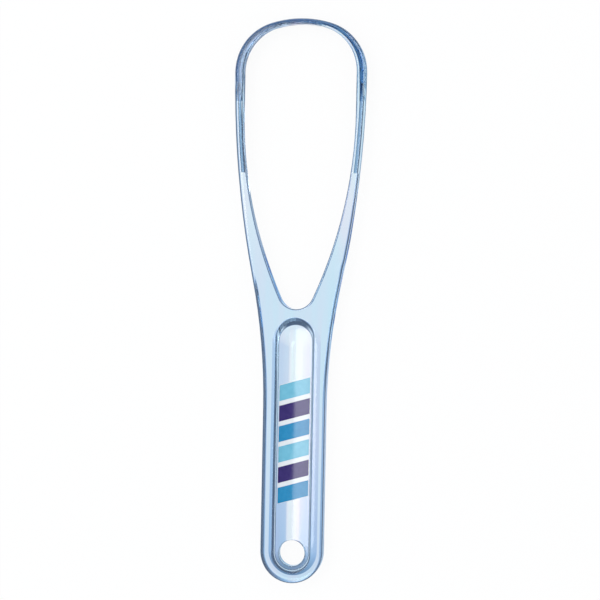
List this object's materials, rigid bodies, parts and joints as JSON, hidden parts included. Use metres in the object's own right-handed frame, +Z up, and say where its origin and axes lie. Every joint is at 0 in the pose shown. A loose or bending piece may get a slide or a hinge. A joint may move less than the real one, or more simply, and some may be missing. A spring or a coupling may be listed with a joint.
{
  "type": "tongue scraper",
  "caption": "Flat hand-held tongue scraper: clear moulded handle with a printed recess and hang hole, two arms and a rounded loop with a seated blade.",
  "frame": {"origin": "on the surface that the scraper's back lies on, under the middle of its length and width", "axes": "+X across the handle, +Y from the tail with the hang hole to the crown of the loop, +Z up out of the printed face"},
  "size_m": [0.0388, 0.165, 0.005],
  "materials": {
    "clear_blue_plastic": "clear pale-blue moulded plastic, polished",
    "deep_blue_plastic": "deeper blue translucent plastic, polished",
    "white_ink": "white screen-printed ink, satin",
    "teal_ink": "teal screen-printed ink, satin",
    "indigo_ink": "indigo screen-printed ink, satin",
    "aqua_ink": "aqua screen-printed ink, satin"
  },
  "bodies": {
    "root": {"moulded_frame": "clear_blue_plastic", "scraper_blade": "deep_blue_plastic", "print_white_base": "white_ink", "print_band_1_teal": "teal_ink", "print_band_2_indigo": "indigo_ink", "print_band_3_aqua": "aqua_ink", "print_band_4_teal": "teal_ink", "print_band_5_indigo": "indigo_ink", "print_band_6_aqua": "aqua_ink"}
  },
  "joints": []
}
